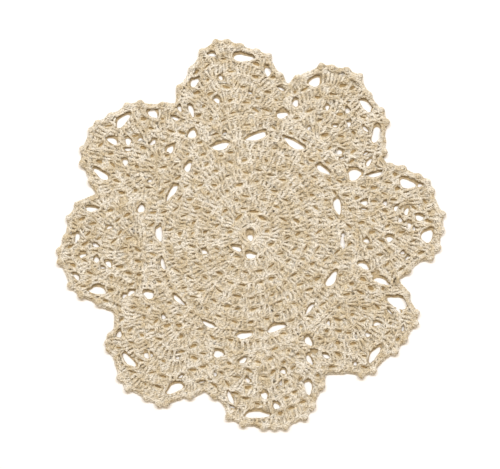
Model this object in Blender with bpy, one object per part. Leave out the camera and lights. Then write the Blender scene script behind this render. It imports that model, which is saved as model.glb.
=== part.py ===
"""Lace doily crocheted in the round from one ecru cotton thread, as one flat solid.

The mat is a dense disc of seven rounds, one openwork round, a base round and eight
petals worked as fans of rows, with picots all along the rim. It lies flat on Z = 0,
and its origin is at the middle of its bounding box. Sizes below are in millimetres
and degrees. Angles run round from +X towards +Y, and radii start at the hub.
"""
import math

import bmesh
import bpy
from mathutils import Vector
from mathutils.geometry import delaunay_2d_cdt

MM = 0.001

# Thickness of the fabric
FABRIC = 1.45           # thickness between the raised rounds
EDGE = 1.05             # thickness at the rim and round the gaps
RIDGE = 0.40            # how far a round's top chain stands above the fabric
KNOT = 0.65             # how far a picot stands above the fabric
WAVE = 0.05             # slow unevenness of a hand-worked mat
WAVE_SPREAD = (11.0, 13.0, 9.0)

# The disc: its middle, the hole there, and the outer radius of each round
DISC_MIDDLE = (0.0, 1.2)
HUB_HOLE = (4.8, 3.4)   # length along Y and width
ROUND_TOPS = (5.6, 9.4, 14.6, 19.8, 25.0, 30.0, 35.0, 39.4)
BASE_ROUND = (43.6, 48.2)
OVAL = 0.05             # the disc is this much longer along OVAL_AXIS than round
OVAL_AXIS = 75.0

# The petals: rows of stitches are arcs about a focus on each petal's axis
PETAL_FOCUS = 47.0
PETAL_ROW = 5.9
PETAL_ROWS = 7

# The rim: blunt picots with a dip between each two
DIP_SHARE = 0.13        # depth of a dip as a share of the distance between its picots
DIP_LEAST = 0.7
SHOULDER = (1.2, 0.25)  # distance along the rim from a picot's tip, and share of the dip
FOOT = (2.0, 0.85)      # the same, where the picot meets the dip
KNOT_INSET = 1.3        # distance from a picot's tip to the top of its knot
KNOT_CLEAR = 1.6        # free distance round that top

# Spacing of the surface's points, and the clear distance that they keep to an edge
ALONG_STEP = 3.7
EDGE_CLEAR = 1.0
KNOT_EDGE_CLEAR = 0.7
GAP_SIDES = 8
GAP_REACH = 12.0        # no gap is longer than this
CLOSEST = 1e-6          # points nearer than this would count as one

# Gaps of the disc and the openwork round, clear of the hub hole. The columns are the
# angle, the radius, the length, the width and the tilt from the round's own line.
ROUND_GAPS = (
    (57.5, 9.6, 4.2, 1.6, 4),
    (82.0, 11.0, 4.8, 1.9, 6),
    (121.0, 9.8, 4.6, 1.7, 10),
    (197.0, 21.0, 3.7, 2.0, 65),
    (219.5, 7.4, 4.1, 2.4, 30),
    (272.0, 7.8, 4.4, 2.9, 0),
    (20.0, 39.8, 7.2, 3.4, -6),
    (43.0, 42.7, 6.9, 2.7, 10),
    (65.0, 44.4, 10.0, 3.2, -7),
    (86.5, 43.5, 10.2, 3.0, 22),
    (108.0, 41.3, 8.1, 3.2, -5),
    (131.5, 40.4, 4.9, 2.6, 15),
    (150.0, 38.8, 8.8, 2.4, -1),
    (177.5, 39.2, 7.1, 2.9, 6),
    (197.0, 39.2, 5.2, 1.9, 0),
    (221.0, 40.8, 6.0, 2.2, 8),
    (244.5, 41.4, 5.9, 2.2, -3),
    (266.5, 42.1, 6.4, 3.1, 16),
    (286.0, 40.4, 8.9, 2.8, 1),
    (310.0, 39.8, 5.5, 1.9, 10),
    (333.0, 39.2, 8.3, 3.2, -8),
    (357.0, 39.7, 6.0, 1.9, 8),
)

# One entry for each petal, with its axis and the valley on its anticlockwise side.
#   rim: each picot's turn from the axis and its radius
#   gaps: turn from the axis, radius, length, width, tilt from the line across the petal
PETALS = (
    dict(
        axis=7.0, valley=(29.3, 63.5),
        rim=((-19.5, 70.5), (-16.8, 71.8), (-14.4, 79.0), (-10.5, 82.0), (-5.0, 83.5),
             (0.0, 84.7), (7.5, 81.7), (10.8, 81.0), (13.5, 77.8), (18.2, 72.8),
             (21.2, 68.0)),
        gaps=((-21.0, 50.1, 4.9, 2.8, 55), (10.0, 51.2, 3.3, 2.4, 90),
              (-7.6, 59.7, 3.3, 2.7, 95), (19.8, 60.2, 6.8, 2.3, 94),
              (4.4, 63.8, 2.8, 1.8, 160), (2.5, 68.0, 3.6, 2.0, 150),
              (-2.8, 68.6, 3.1, 2.3, 175), (12.0, 71.3, 7.8, 4.0, 65),
              (-0.3, 73.2, 4.1, 2.7, 65), (-6.5, 76.0, 6.2, 4.8, 165)),
    ),
    dict(
        axis=53.0, valley=(76.2, 67.4),
        rim=((-21.5, 69.2), (-17.8, 71.4), (-13.5, 77.8), (-9.2, 79.6), (-3.0, 80.8),
             (2.5, 85.0), (7.2, 84.2), (11.5, 82.0), (15.2, 80.9), (18.5, 75.0),
             (21.5, 72.3)),
        gaps=((-21.8, 52.3, 6.2, 4.8, 60), (-9.0, 52.9, 3.0, 2.5, 70),
              (22.5, 54.4, 4.7, 3.3, 50), (-20.6, 60.3, 4.1, 1.9, 90),
              (18.4, 61.0, 3.4, 2.7, 130), (-3.8, 64.3, 3.0, 2.4, 110),
              (-0.4, 68.7, 2.8, 1.9, 135), (-13.7, 70.0, 7.1, 4.4, 110),
              (14.5, 72.4, 5.6, 4.1, 80), (-4.2, 75.4, 7.2, 3.4, 175),
              (8.2, 80.8, 3.4, 1.6, 20)),
    ),
    dict(
        axis=98.0, valley=(119.2, 65.8),
        rim=((-19.3, 71.4), (-14.5, 79.2), (-10.3, 81.0), (-5.3, 83.4), (-1.5, 85.8),
             (2.2, 86.5), (7.2, 83.6), (12.0, 77.5), (18.2, 72.2)),
        gaps=((16.9, 60.2, 5.8, 2.2, 105), (5.7, 60.8, 3.2, 2.3, 140),
              (11.8, 70.8, 4.6, 3.2, 45), (-14.0, 71.7, 4.7, 2.7, 85),
              (-5.7, 77.3, 8.3, 3.7, 170), (3.8, 80.3, 3.4, 2.0, 170)),
    ),
    dict(
        axis=141.0, valley=(164.2, 68.8),
        rim=((-18.0, 69.4), (-15.0, 70.8), (-12.4, 75.6), (-8.2, 78.8), (-2.3, 80.7),
             (2.0, 83.2), (5.2, 83.8), (11.5, 82.8), (16.0, 80.0), (20.5, 73.4)),
        gaps=((-21.7, 51.0, 4.5, 3.4, 5), (-8.8, 51.2, 4.0, 2.7, 5),
              (-5.3, 58.5, 3.3, 2.0, 165), (7.9, 62.7, 3.4, 2.3, 30),
              (-2.5, 63.1, 3.0, 2.2, 30), (0.7, 66.9, 3.7, 2.5, 55),
              (-12.9, 67.8, 5.1, 3.4, 95), (16.0, 69.6, 7.6, 3.2, 96),
              (3.9, 72.3, 5.2, 2.8, 95), (-3.5, 74.3, 7.8, 3.7, 170)),
    ),
    dict(
        axis=186.0, valley=(208.8, 67.0),
        rim=((-17.3, 76.8), (-12.3, 79.8), (-6.0, 80.6), (-2.2, 83.7), (1.6, 83.9),
             (9.3, 81.4), (13.7, 78.0), (18.2, 72.0)),
        gaps=((-20.9, 48.5, 4.0, 2.8, 165), (18.8, 56.5, 3.5, 2.2, 115),
              (4.5, 61.9, 3.3, 2.4, 40), (-3.3, 66.6, 3.1, 2.0, 60),
              (2.3, 66.9, 3.5, 2.2, 160), (-16.2, 69.2, 5.2, 2.6, 78),
              (13.1, 69.3, 7.5, 3.6, 75), (0.1, 72.4, 2.9, 2.0, 100),
              (-6.0, 74.4, 4.4, 2.1, 163), (6.7, 76.5, 3.4, 2.0, 30)),
    ),
    dict(
        axis=231.0, valley=(253.6, 69.0),
        rim=((-18.3, 69.4), (-17.0, 74.0), (-15.4, 77.2), (-13.0, 78.8), (-7.7, 79.9),
             (-4.4, 83.7), (0.0, 85.2), (6.2, 83.4), (10.6, 83.1), (12.9, 81.2),
             (15.0, 76.8), (18.8, 74.3)),
        gaps=((-21.6, 50.1, 4.4, 3.6, 35), (-2.0, 67.0, 3.7, 3.0, 45),
              (-14.6, 70.0, 3.4, 2.1, 105), (12.4, 72.3, 8.1, 3.8, 63),
              (-5.8, 74.1, 7.9, 3.2, 170)),
    ),
    dict(
        axis=276.0, valley=(298.9, 67.2),
        rim=((-19.0, 71.4), (-15.6, 72.4), (-13.8, 79.0), (-8.5, 81.8), (-2.3, 83.1),
             (1.1, 83.6), (4.6, 84.3), (11.2, 82.3), (15.0, 78.4), (20.3, 72.2)),
        gaps=((-21.4, 51.8, 4.3, 3.4, 165), (-9.4, 52.8, 3.7, 2.4, 30),
              (19.8, 58.2, 5.0, 2.2, 118), (7.8, 59.2, 2.7, 2.2, 130),
              (-0.9, 68.1, 3.6, 2.8, 130), (15.1, 69.0, 6.0, 3.6, 94),
              (-13.1, 69.3, 6.6, 1.9, 108), (2.8, 73.2, 3.6, 2.6, 140),
              (-3.9, 76.1, 9.7, 3.6, 175)),
    ),
    dict(
        axis=321.5, valley=(344.0, 66.2),
        rim=((-18.0, 70.6), (-15.4, 72.4), (-13.4, 77.3), (-9.0, 79.4), (0.0, 80.7),
             (5.0, 80.8), (11.0, 81.5), (14.8, 79.5), (19.4, 72.4)),
        gaps=((-22.2, 51.0, 4.4, 3.2, 80), (20.2, 59.2, 6.8, 2.8, 112),
              (-18.8, 60.5, 3.3, 2.1, 115), (4.3, 65.8, 2.9, 2.1, 135),
              (14.8, 69.3, 9.2, 5.2, 103), (-4.9, 73.2, 8.0, 3.3, 5)),
    ),
)

THREAD_COLOUR = (0.617, 0.509, 0.352, 1.0)


def polar(angle, radius):
    """A point given by its angle in degrees and its distance from the hub."""
    turn = math.radians(angle)
    return Vector((radius * math.cos(turn), radius * math.sin(turn)))


def direction(point):
    """The angle of a point as seen from the hub, in degrees."""
    return math.degrees(math.atan2(point.y, point.x))


def oval_factor(angle):
    """How much the disc's rounds are stretched in one direction."""
    return 1 + OVAL * math.cos(2 * math.radians(angle - OVAL_AXIS))


def round_radius(point):
    """How far out a point lies as the disc's rounds run, whatever their stretch."""
    from_middle = point - Vector(DISC_MIDDLE)
    return from_middle.length / oval_factor(direction(from_middle))


def angle_apart(first, second):
    """The signed difference of two angles, from -180 to 180."""
    return (first - second + 180) % 360 - 180


def scalloped(start, end):
    """Rim points from one picot's tip up to the next one's, with a dip between them."""
    span = end - start
    along = span.normalized()
    inward = Vector((-along.y, along.x))
    depth = max(DIP_LEAST, DIP_SHARE * span.length)
    points = [start]
    if span.length > 2 * FOOT[0]:
        profile = [SHOULDER, FOOT, (span.length / 2, 1.0),
                   (span.length - FOOT[0], FOOT[1]), (span.length - SHOULDER[0], SHOULDER[1])]
    else:
        profile = [(span.length / 2, 0.5)]
    for distance, share in profile:
        points.append(start + distance * along + share * depth * inward)
    return points


def picot_tips():
    """The tip of every picot, petal by petal."""
    return [[polar(petal["axis"] + turn, radius) for turn, radius in petal["rim"]]
            for petal in PETALS]


def rim_outline():
    """The doily's outline: scallops from picot to picot, and straight into each valley."""
    tips = picot_tips()
    outline = []
    for index, petal in enumerate(PETALS):
        row = tips[index]
        for start, end in zip(row, row[1:]):
            outline += scalloped(start, end)
        valley = polar(*petal["valley"])
        next_tip = tips[(index + 1) % len(PETALS)][0]
        outline += [row[-1], row[-1].lerp(valley, 0.5), valley, valley.lerp(next_tip, 0.5)]
    return outline


def oval_loop(middle, length, width, tilt):
    """A gap's outline: an oval with its length turned by tilt degrees from +X."""
    turn = math.radians(tilt)
    along = Vector((math.cos(turn), math.sin(turn)))
    aside = Vector((-along.y, along.x))
    loop = []
    for side in range(GAP_SIDES):
        angle = 2 * math.pi * (side + 0.5) / GAP_SIDES
        loop.append(middle + math.cos(angle) * length / 2 * along
                    + math.sin(angle) * width / 2 * aside)
    return loop


def gap_loops():
    """Every gap that goes through: the hub hole, the openwork round and the petals."""
    loops = [oval_loop(Vector(DISC_MIDDLE), *HUB_HOLE, 90)]
    for angle, radius, length, width, tilt in ROUND_GAPS:
        loops.append(oval_loop(polar(angle, radius), length, width, angle + 90 + tilt))
    for petal in PETALS:
        across = petal["axis"] - 90
        for turn, radius, length, width, tilt in petal["gaps"]:
            middle = polar(petal["axis"] + turn, radius)
            loops.append(oval_loop(middle, length, width, across + tilt))
    return loops


def inside(point, loop):
    """Whether a point lies inside a closed loop."""
    hit = False
    for start, end in zip(loop, loop[1:] + loop[:1]):
        if (start.y > point.y) != (end.y > point.y):
            cross = start.x + (point.y - start.y) * (end.x - start.x) / (end.y - start.y)
            if point.x < cross:
                hit = not hit
    return hit


def edge_distance(point, loop):
    """The shortest distance from a point to a closed loop."""
    best = math.inf
    for start, end in zip(loop, loop[1:] + loop[:1]):
        span = end - start
        share = max(0.0, min(1.0, (point - start).dot(span) / span.length_squared))
        best = min(best, (point - start - share * span).length)
    return best


def clear_of_edges(point, outline, gaps, distance):
    """Whether a point lies on the mat, and at least this far from the rim and the gaps."""
    if not inside(point, outline) or edge_distance(point, outline) < distance:
        return False
    near = [gap for gap in gaps if (point - gap[0]).length < GAP_REACH]
    return not any(inside(point, gap) or edge_distance(point, gap) < distance
                   for gap in near)


def half_steps(tops, first):
    """The radii of the ridges, with one radius halfway between each two."""
    radii = []
    inner = first
    for top in tops:
        radii += [(inner + top) / 2, top]
        inner = top
    return radii


def circle_points(centre, radius, middle_angle, half_angle, phase):
    """Points along an arc, ALONG_STEP apart, with every other arc half a step on."""
    count = max(3, round(math.radians(2 * half_angle) * radius / ALONG_STEP))
    step = 2 * half_angle / count
    first = middle_angle - half_angle + phase * step
    return [centre + polar(first + index * step, radius) for index in range(count)]


def disc_points():
    """Surface points along the ridges and the furrows of the disc's rounds."""
    points = []
    middle = Vector(DISC_MIDDLE)
    for index, radius in enumerate(half_steps(ROUND_TOPS + BASE_ROUND, HUB_HOLE[1] / 2)):
        ring = circle_points(Vector((0, 0)), radius, 180, 180, 0.5 * (index % 2))
        points += [middle + oval_factor(direction(point)) * point for point in ring]
    return points


def petal_points():
    """Surface points along the ridges and the furrows of each petal's rows."""
    half_petal = 180 / len(PETALS)
    points = []
    for petal in PETALS:
        focus = polar(petal["axis"], PETAL_FOCUS)
        for half_row in range(1, 2 * PETAL_ROWS + 1):
            arc = circle_points(focus, half_row * PETAL_ROW / 2, petal["axis"], 120,
                                0.5 * (half_row % 2))
            for point in arc:
                own = abs(angle_apart(direction(point), petal["axis"])) < half_petal - 1
                if own and round_radius(point) > BASE_ROUND[1] + 1.5:
                    points.append(point)
    return points


def knot_points():
    """The top of each picot's knot, a little in from its tip."""
    return [tip - KNOT_INSET * tip.normalized() for row in picot_tips() for tip in row]


def ridge_share(distance, tops):
    """1 on a round's top chain, 0 halfway between two of them."""
    nearest = min(abs(distance - top) for top in tops)
    return max(0.0, 1 - nearest / (PETAL_ROW / 2))


def fabric_height(point):
    """The mat's thickness at a point of its face."""
    radius = round_radius(point)
    if radius > BASE_ROUND[1] + 1:
        petal = min(PETALS, key=lambda item: abs(angle_apart(direction(point), item["axis"])))
        from_focus = (point - polar(petal["axis"], PETAL_FOCUS)).length
        rows = [PETAL_ROW * row for row in range(1, PETAL_ROWS + 1)]
        ridge = ridge_share(from_focus, rows)
    else:
        ridge = ridge_share(radius, ROUND_TOPS + BASE_ROUND)
    across, along, outward = WAVE_SPREAD
    wave = (math.sin(point.x / across) * math.sin(point.y / along)
            + math.sin(point.length / outward))
    return FABRIC + RIDGE * ridge + WAVE * wave


def surface_points(outline, gaps):
    """Every point of the face with its height, clear of the rim, the gaps and the knots."""
    knots = [knot for knot in knot_points()
             if clear_of_edges(knot, outline, gaps, KNOT_EDGE_CLEAR)]
    placed = [(knot, FABRIC + KNOT) for knot in knots]
    for point in disc_points() + petal_points():
        near_knot = any((point - knot).length < KNOT_CLEAR for knot in knots)
        if not near_knot and clear_of_edges(point, outline, gaps, EDGE_CLEAR):
            placed.append((point, fabric_height(point)))
    return placed


def triangles(points, loops):
    """Triangles over the mat between the outline, loops[0], and the gaps after it."""
    edges = []
    first = 0
    for loop in loops:
        count = len(loop)
        edges += [(first + index, first + (index + 1) % count) for index in range(count)]
        first += count
    corners, _, faces, *_ = delaunay_2d_cdt(points, edges, [], 0, CLOSEST)
    if len(corners) != len(points):
        raise ValueError("two loops cross or two points coincide")
    kept = []
    for face in faces:
        middle = sum((corners[index] for index in face), Vector((0, 0))) / 3
        in_gap = any(inside(middle, gap) for gap in loops[1:])
        if inside(middle, loops[0]) and not in_gap:
            kept.append(face)
    return kept


def build_mesh(outline, gaps, shift):
    """The mat as one closed mesh: a worked face, a flat underside and upright edges."""
    loops = [outline] + gaps
    border = [point for loop in loops for point in loop]
    inner = surface_points(outline, gaps)
    face_points = border + [point for point, height in inner]
    heights = [EDGE] * len(border) + [height for point, height in inner]

    work = bmesh.new()
    top = [work.verts.new(((point + shift) * MM).to_3d() + Vector((0, 0, height * MM)))
           for point, height in zip(face_points, heights)]
    bottom = [work.verts.new(((point + shift) * MM).to_3d()) for point in border]
    for face in triangles(face_points, loops):
        work.faces.new([top[index] for index in face])
    for face in triangles(border, loops):
        work.faces.new([bottom[index] for index in reversed(face)])
    first = 0
    for loop in loops:
        for index in range(len(loop)):
            here = first + index
            after = first + (index + 1) % len(loop)
            work.faces.new((bottom[here], bottom[after], top[after]))
            work.faces.new((bottom[here], top[after], top[here]))
        first += len(loop)
    bmesh.ops.recalc_face_normals(work, faces=work.faces)
    mesh = bpy.data.meshes.new("doily")
    work.to_mesh(mesh)
    work.free()
    return mesh


def cotton_material():
    """Matt ecru crochet cotton."""
    material = bpy.data.materials.new("ecru_cotton")
    material.use_nodes = True
    shader = material.node_tree.nodes["Principled BSDF"]
    shader.inputs["Base Color"].default_value = THREAD_COLOUR
    shader.inputs["Roughness"].default_value = 0.85
    shader.inputs["Metallic"].default_value = 0.0
    return material


def main():
    for item in list(bpy.data.objects):
        bpy.data.objects.remove(item)
    outline = rim_outline()
    xs = [point.x for point in outline]
    ys = [point.y for point in outline]
    shift = -Vector((min(xs) + max(xs), min(ys) + max(ys))) / 2
    mesh = build_mesh(outline, gap_loops(), shift)
    mesh.materials.append(cotton_material())
    doily = bpy.data.objects.new("doily", mesh)
    bpy.context.scene.collection.objects.link(doily)


main()
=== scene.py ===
# A lace doily worked in one ecru cotton thread: a dense disc of rounds, an openwork round,
# a base round and eight petals, with a chain and picots along the rim.
# Lengths are in mm and angles in degrees, round from +X to +Y, unless a note says otherwise.
import math

import bmesh
import bpy
import numpy as np
from mathutils.geometry import delaunay_2d_cdt
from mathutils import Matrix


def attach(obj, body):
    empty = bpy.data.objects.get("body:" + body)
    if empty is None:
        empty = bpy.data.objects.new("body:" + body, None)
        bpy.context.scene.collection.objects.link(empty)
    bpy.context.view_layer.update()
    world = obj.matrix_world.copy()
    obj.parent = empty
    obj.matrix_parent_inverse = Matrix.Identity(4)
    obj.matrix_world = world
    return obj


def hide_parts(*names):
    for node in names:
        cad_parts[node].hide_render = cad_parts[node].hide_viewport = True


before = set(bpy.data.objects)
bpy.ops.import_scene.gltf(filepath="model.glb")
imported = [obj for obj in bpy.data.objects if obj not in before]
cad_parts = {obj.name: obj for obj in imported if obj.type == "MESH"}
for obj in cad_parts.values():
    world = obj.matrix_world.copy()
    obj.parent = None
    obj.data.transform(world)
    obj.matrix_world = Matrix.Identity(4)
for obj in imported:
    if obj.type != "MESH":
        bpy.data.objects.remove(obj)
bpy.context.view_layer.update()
mm = 0.001
fullTurn = 2 * math.pi
dice = np.random.default_rng(27)     # every random draw comes from here, in this order


def addNode(tree, kind, links=None, **settings):
    # a node with its settings, and with each named input given a value, or linked to a socket
    # or to the first output of a node
    node = tree.nodes.new(kind)
    for key, value in settings.items():
        setattr(node, key, value)
    for key, value in (links or {}).items():
        if isinstance(value, bpy.types.Node):
            value = value.outputs[0]
        if isinstance(value, bpy.types.NodeSocket):
            tree.links.new(value, node.inputs[key])
        else:
            node.inputs[key].default_value = value
    return node


def addMath(tree, operation, *values):
    return addNode(tree, "ShaderNodeMath", dict(enumerate(values)), operation=operation)


def hexToLinear(colour):
    # "#rrggbb" in sRGB to linear RGBA
    parts = [int(colour[start:start + 2], 16) / 255 for start in (1, 3, 5)]
    return [c / 12.92 if c <= 0.04045 else ((c + 0.055) / 1.055) ** 2.4 for c in parts] + [1.0]


# Materials

def startMaterial(look):
    # an empty material with its tree, and the place of a point in its piece
    material = bpy.data.materials.new(look["name"])
    material.use_nodes = True
    tree = material.node_tree
    tree.nodes.clear()
    return material, tree, addNode(tree, "ShaderNodeTexCoord").outputs["Object"]


def addNoise(tree, place, size, detail, bend=0.0):
    return addNode(tree, "ShaderNodeTexNoise", {
        "Vector": place, "Scale": 1 / (size * mm), "Detail": detail, "Distortion": bend})


def addBump(tree, height, depth, **more):
    return addNode(tree, "ShaderNodeBump", {
        "Height": height, "Distance": depth * mm, "Strength": 1.0, **more})


def mapRange(tree, value, found, wanted):
    # takes a value from the range it is found in to the one that is wanted
    return addNode(tree, "ShaderNodeMapRange", {
        "Value": value, "From Min": found[0], "From Max": found[1],
        "To Min": wanted[0], "To Max": wanted[1]})


def shadeBy(tree, colour, share):
    return addNode(tree, "ShaderNodeVectorMath", {0: colour, "Scale": share}, operation="SCALE")


def mixTones(tree, noise, look):
    # the look's deep and pale colour, spread by the noise
    ramp = addNode(tree, "ShaderNodeValToRGB", {"Fac": noise})
    tones = zip(ramp.color_ramp.elements, look["toneRange"], (look["deep"], look["pale"]))
    for element, position, colour in tones:
        element.position = position
        element.color = hexToLinear(colour)
    return ramp


def endMaterial(material, tree, place, look, colour, bump, **more):
    # painted glints and specks of painted shade over the colour, then the surface itself
    paintedGlints = mapRange(tree, addNoise(tree, place, look["fleckSize"], 1.0),
                      look["fleckRange"], look["paintedGlintShade"])
    surface = addNode(tree, "ShaderNodeBsdfPrincipled", {
        "Base Color": shadeBy(tree, colour, paintedGlints), "Roughness": look["roughness"],
        "Sheen Weight": look["sheen"], "Normal": bump, **more})
    addNode(tree, "ShaderNodeOutputMaterial", {"Surface": surface})
    return material


threadLook = dict(
    name="mercerised crochet cotton, ecru",
    pale="#f4eedf",             # sRGB, the cleanest stretches of the thread
    deep="#d5c5a4",             # where the dye took deeper
    toneRange=(0.32, 0.66),     # values of the noise that are all deep and all pale
    patchSize=3.2,              # mm, length of a lighter or darker stretch
    plies=3,
    plyPitch=2.8,               # mm along the thread for one turn of its plies
    plyDepth=0.08,              # mm, groove between two plies
    plyRound=0.5,               # power of their wave: below 1, full plies and narrow grooves
    paintedPlyShade=0.84,              # painted shade: how light the groove is beside the ply
    plyShadeTo=0.75,            # share of the ply's height that this painted shade reaches up
    fibreSize=0.45,             # mm, drawn much coarser than real fibres so that it shows
    fibreDepth=0.06,            # mm
    fibreStrength=0.7,
    fleckSize=0.70,             # mm, painted glints where loose fibre ends would catch the light, with specks of painted shade between them, drawn coarse too
    fleckRange=(0.36, 0.64),    # values of the noise between which they set in
    paintedGlintShade=(0.78, 1.07),    # how light the thread is between them and on them
    paintedLowShade=0.80,              # painted shade: how light the thread is low down at the table, under the rest of the mat
    lowFrom=0.35,               # mm, height up to which it is that dark
    lowTo=1.15,                 # mm, height from which it is unshaded
    roughness=0.62,
    sheen=0.15,
    sheenRoughness=0.5,
    glow=0.20,                  # share of the light that scatters inside the thread
    glowReach=(0.5, 0.5, 0.5),  # mm, of red, green and blue light
)


def cottonThread(look):
    # cotton singles, gassed and mercerised, then plied: a soft gloss, and dark lines between plies
    # that are partly bump and partly painted shade
    material, tree, place = startMaterial(look)
    colours = mixTones(tree, addNoise(tree, place, look["patchSize"], 2.0), look)

    # the plies wind round the thread: the attribute holds cos and sin of the angle, and the length
    wound = addNode(tree, "ShaderNodeAttribute", attribute_name="ply")
    parts = addNode(tree, "ShaderNodeSeparateXYZ", {"Vector": wound.outputs["Vector"]}).outputs
    angle = addMath(tree, "ARCTAN2", parts["Y"], parts["X"])
    turns = addMath(tree, "MULTIPLY", parts["Z"], fullTurn / (look["plyPitch"] * mm))
    lobes = addMath(tree, "MULTIPLY", addMath(tree, "ADD", angle, turns), float(look["plies"]))
    raised = addMath(tree, "MULTIPLY_ADD", addMath(tree, "SINE", lobes), 0.5, 0.5)
    ridge = addMath(tree, "POWER", raised, look["plyRound"])
    # painted shade in the grooves between the plies, darker where the ply's wave is low
    paintedPlyShade = mapRange(tree, ridge, (0.0, look["plyShadeTo"]), (look["paintedPlyShade"], 1.0))

    plyBump = addBump(tree, ridge, look["plyDepth"])
    fibres = addNoise(tree, place, look["fibreSize"], 3.0)
    fibreBump = addBump(tree, fibres, look["fibreDepth"], Strength=look["fibreStrength"],
                        Normal=plyBump)
    spot = addNode(tree, "ShaderNodeSeparateXYZ", {"Vector": place})
    # painted shade on the thread low down: darkest near the table, none from lowTo upwards
    paintedLowShade = mapRange(tree, spot.outputs["Z"], (look["lowFrom"] * mm, look["lowTo"] * mm),
                        (look["paintedLowShade"], 1.0))
    # the colour under the painted shade of the ply grooves and of the low thread
    paintedShade = shadeBy(tree, colours, addMath(tree, "MULTIPLY", paintedPlyShade, paintedLowShade))
    return endMaterial(material, tree, place, look, paintedShade, fibreBump, **{
        "Sheen Roughness": look["sheenRoughness"], "Subsurface Weight": look["glow"],
        "Subsurface Radius": look["glowReach"], "Subsurface Scale": mm})


groundLook = dict(
    name="crochet cotton, inner strands",
    pale="#ebe1c8",
    deep="#d6c6a4",
    toneRange=(0.35, 0.65),
    paintedShade="#ab9265",           # painted shade down in the pits, on the slopes and ledges at the gaps and along the rows' lines
    strandSize=0.7,             # mm across a strand
    strandDepth=0.45,           # mm
    strandBend=1.2,             # how far the strands wind
    fleckSize=0.75,             # mm, painted glints and specks of shade, as coarse as in the thread
    fleckRange=(0.36, 0.64),
    paintedGlintShade=(0.74, 1.08),
    roughness=0.7,
    sheen=0.2,
)


def cottonGround(look):
    # what shows between the stitches: the back of the thread, matted and in no clear order
    material, tree, place = startMaterial(look)
    strands = addNoise(tree, place, look["strandSize"], 3.0, look["strandBend"])
    # the mesh's depth attribute mixes in the painted shade
    depth = addNode(tree, "ShaderNodeAttribute", attribute_name="depth")
    # a mix of colours has its two colours at inputs 6 and 7, and its result at output 2
    paintedShade = addNode(tree, "ShaderNodeMix", {
        0: depth.outputs["Fac"], 6: mixTones(tree, strands, look),
        7: hexToLinear(look["paintedShade"])}, data_type="RGBA")
    bump = addBump(tree, strands, look["strandDepth"])
    return endMaterial(material, tree, place, look, paintedShade.outputs[2], bump)


cotton = cottonThread(threadLook)
innerCotton = cottonGround(groundLook)
print("materials made")


# The outline and the gaps, read from the frame

facesDown = -0.99               # z of a normal below which a face is of the flat underside


def readLoops(node):
    # the edges that the mat's flat underside shares with its upright walls, as closed loops
    solid = bmesh.new()
    solid.from_mesh(node.data)
    bmesh.ops.remove_doubles(solid, verts=solid.verts, dist=0.001 * mm)
    solid.normal_update()
    border = {}
    for edge in solid.edges:
        flat = [face for face in edge.link_faces if face.normal.z < facesDown]
        if len(flat) == 1:
            for here, there in (edge.verts, reversed(edge.verts)):
                border.setdefault(here.index, []).append(there.index)
    places = np.array([vert.co[:2] for vert in solid.verts]) / mm
    solid.free()
    loops = []
    while border:
        start = min(border)
        loop = [start]
        here = border[start][0]
        before = start
        while here != start:
            loop.append(here)
            onward = [there for there in border[here] if there != before]
            before, here = here, onward[0]
        for index in loop:
            del border[index]
        loops.append(places[loop])
    return sorted(loops, key=lambda loop: -np.ptp(loop[:, 0]))


def ovalOf(loop):
    # the oval whose corners a gap's loop holds: middle, half axes, direction of the long one
    middle = loop.mean(axis=0)
    spread, ways = np.linalg.eigh(np.cov((loop - middle).T, bias=True))
    return dict(middle=middle, half=np.sqrt(2 * spread[::-1]), way=ways[:, 1])


loops = readLoops(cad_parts["doily"])
outline = loops[0]
onward = np.roll(outline, -1, axis=0)
if (outline[:, 0] * onward[:, 1] - outline[:, 1] * onward[:, 0]).sum() < 0:
    outline = outline[::-1]     # now it runs round from +X to +Y
gaps = [ovalOf(loop) for loop in loops[1:]]
print("outline of", len(outline), "points,", len(gaps), "gaps")


# The mat's plan, and the smaller gaps between stitches, which go through too

mat = dict(
    hub=(-0.28, -1.14),         # mm, where the petals' axes meet
    discRise=1.2,               # the disc's middle lies this far along +Y from the hub
    oval=0.05,                  # the rounds are this share longer along ovalWay
    ovalWay=75.0,
    petalAxes=(7.0, 53.0, 98.0, 141.0, 186.0, 231.0, 276.0, 321.5),
    petalFocus=47.0,            # mm from the hub, where the rows of a petal's fan centre
    discRadius=48.2,            # mm, where the base round ends and the petals begin
    gapWaves=((2, 0.08), (3, 0.12), (5, 0.04)),   # how a gap strays from an oval: waves, share
    gapRoom=1.2,                # those waves are taken to stay within this share of the oval
)

# The thread closes in on every gap: most from its upper side, where it hangs lower
lip = dict(
    drop=0.30,              # mm that a gap's middle moves down and its height shrinks by
    aside=0.05,             # mm that it shrinks by all round
    most=0.28,              # share of a gap's half width that either takes at most
    over=0.38,              # mm that the stitches' ends stand over their edge
    ledge=1.05,             # mm from the upper side of what is left up to the stitches
    ledgeFrom=1.3,          # mm, half width of a gap from which its ledge is full
    ledgeLeast=0.5,         # share of it at the smallest gaps
    hub=(-0.28, 0.06),                        # mm, middle of the gap at the hub as cut
    hubWall=((-0.28, -0.10), (2.50, 1.45)),   # its middle and half axes as worked
    hubOpening=((-0.28, -1.38), (1.30, 1.10)),
    slits=((4.88, 6.95), (-5.32, 7.26), (1.25, 9.75)),   # mm, middles of gaps that close below
    slitHalf=(2.10, 0.62),
    hubPits=((6.90, 1.50), (-9.00, 1.10)),    # mm, two small pits beside them
    hubPitHalf=(1.20, 0.60),
    hubPitTurn=10.0,
)

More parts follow.
